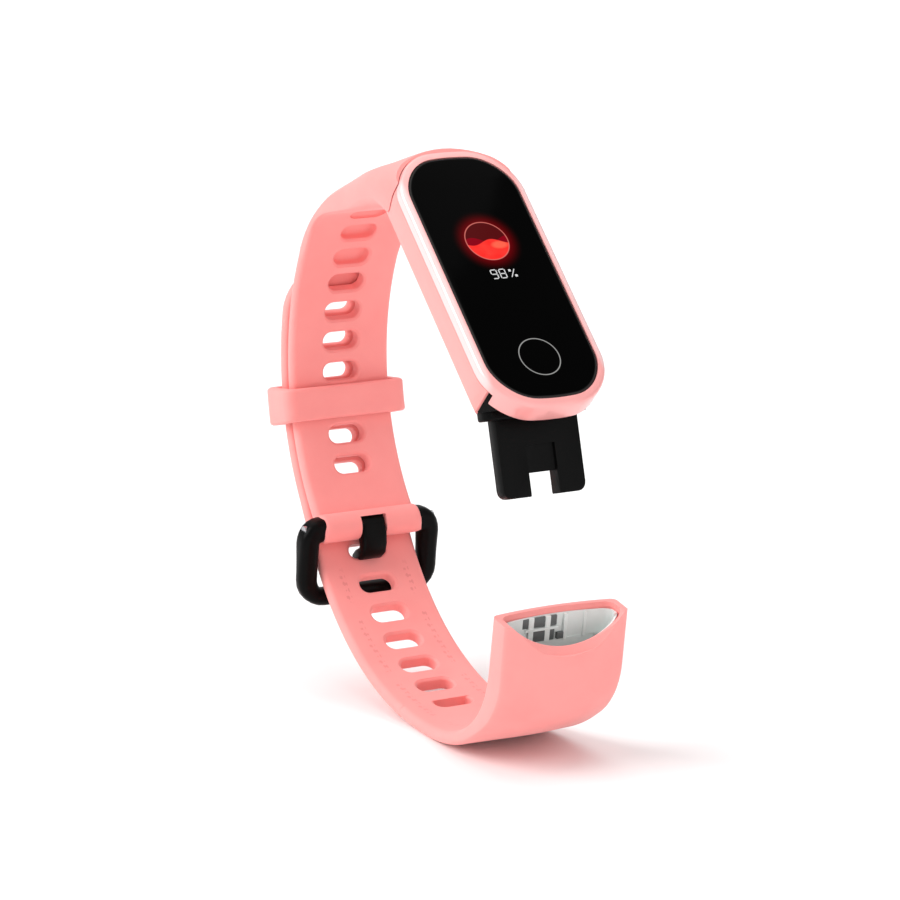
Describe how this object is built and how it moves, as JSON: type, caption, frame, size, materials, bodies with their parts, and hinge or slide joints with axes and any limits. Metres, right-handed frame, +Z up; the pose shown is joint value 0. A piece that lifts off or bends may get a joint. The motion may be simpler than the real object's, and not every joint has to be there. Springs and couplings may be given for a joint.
{
  "type": "fitness tracker band",
  "caption": "Slim wrist band tracker with a leaning glass display, an angled plug, a buckled strap with keeper and a strap end that caps the plug.",
  "frame": {"origin": "middle of the underside of the bounding box, under the strap loop", "axes": "+X across the wrist, +Y to the back of the loop where the keeper is, +Z up; the display leans back and faces -Y and up"},
  "size_m": [0.022, 0.069, 0.0777],
  "materials": {
    "bezel_frame": "satin",
    "lower_case": "matte",
    "display_glass": "gloss",
    "display_panel": "gloss",
    "display_gasket": "matte",
    "inner_frame": "satin",
    "main_board": "satin",
    "board_chips": "matte",
    "battery": "satin",
    "motor_case": "satin",
    "motor_shaft": "satin",
    "motor_weight": "satin",
    "display_flex": "satin",
    "sensor_board": "satin",
    "sensor_leds": "gloss",
    "sensor_window": "gloss",
    "light_shield": "matte",
    "antenna": "satin",
    "plug_flange": "matte",
    "plug_blade": "matte",
    "plug_contacts": "satin",
    "plug_board": "satin",
    "strap_lug": "matte",
    "buckle_strap": "matte",
    "strap_clip": "gloss",
    "buckle_pin": "satin",
    "buckle_frame": "satin",
    "buckle_prong": "satin",
    "keeper_loop": "matte",
    "strap_tail": "matte",
    "strap_loop": "matte",
    "strap_end": "matte",
    "socket_liner": "gloss",
    "socket_rib": "gloss",
    "latch_spring": "satin"
  },
  "bodies": {
    "capsule": {"bezel_frame": "bezel_frame", "lower_case": "lower_case", "display_glass": "display_glass", "display_panel": "display_panel", "display_gasket": "display_gasket", "inner_frame": "inner_frame", "main_board": "main_board", "board_chips": "board_chips", "battery": "battery", "motor_case": "motor_case", "motor_shaft": "motor_shaft", "display_flex": "display_flex", "sensor_board": "sensor_board", "sensor_leds": "sensor_leds", "sensor_window": "sensor_window", "light_shield": "light_shield", "antenna": "antenna", "plug_flange": "plug_flange", "plug_blade": "plug_blade", "plug_contacts": "plug_contacts", "plug_board": "plug_board", "strap_lug": "strap_lug"},
    "motor_rotor": {"motor_weight": "motor_weight"},
    "upper_strap": {"buckle_strap": "buckle_strap", "strap_clip": "strap_clip", "buckle_pin": "buckle_pin", "strap_tail": "strap_tail"},
    "buckle": {"buckle_frame": "buckle_frame"},
    "prong": {"buckle_prong": "buckle_prong"},
    "keeper": {"keeper_loop": "keeper_loop"},
    "lower_strap": {"strap_loop": "strap_loop"},
    "socket_end": {"strap_end": "strap_end", "socket_liner": "socket_liner", "socket_rib": "socket_rib"},
    "latch": {"latch_spring": "latch_spring"}
  },
  "joints": [
    {"name": "strap_pull", "type": "slide", "parent": "capsule", "child": "upper_strap", "axis": [0, 0.9903, -0.1392], "range_m": [0, 0.01]},
    {"name": "strap_flex", "type": "hinge", "parent": "upper_strap", "child": "lower_strap", "pos_m": [0, 0.00166, 0.0174], "axis": [1, 0, 0], "range_deg": [-24, 0], "stiffness_Nm_per_rad": 0.02},
    {"name": "socket_plug", "type": "slide", "parent": "lower_strap", "child": "socket_end", "axis": [0, 0.1564, -0.9877], "range_m": [-0.0122, 0]},
    {"name": "latch_flex", "type": "hinge", "parent": "socket_end", "child": "latch", "pos_m": [0, -0.03152, 0.00963], "axis": [1, 0, 0], "range_deg": [0, 3], "stiffness_Nm_per_rad": 0.05},
    {"name": "keeper_slide", "type": "hinge", "parent": "upper_strap", "child": "keeper", "pos_m": [0, -0.00422, 0.04465], "axis": [1, 0, 0], "range_deg": [-4, 4]},
    {"name": "frame_swing", "type": "hinge", "parent": "upper_strap", "child": "buckle", "pos_m": [0, 0.02098, 0.02215], "axis": [1, 0, 0], "range_deg": [-1.5, 12]},
    {"name": "prong_swing", "type": "hinge", "parent": "upper_strap", "child": "prong", "pos_m": [0, 0.02098, 0.02215], "axis": [1, 0, 0], "range_deg": [-5, 0]},
    {"name": "motor_spin", "type": "hinge", "parent": "capsule", "child": "motor_rotor", "pos_m": [0, -0.01827, 0.05371], "axis": [0, -0.6953, 0.7187], "continuous": true}
  ]
}
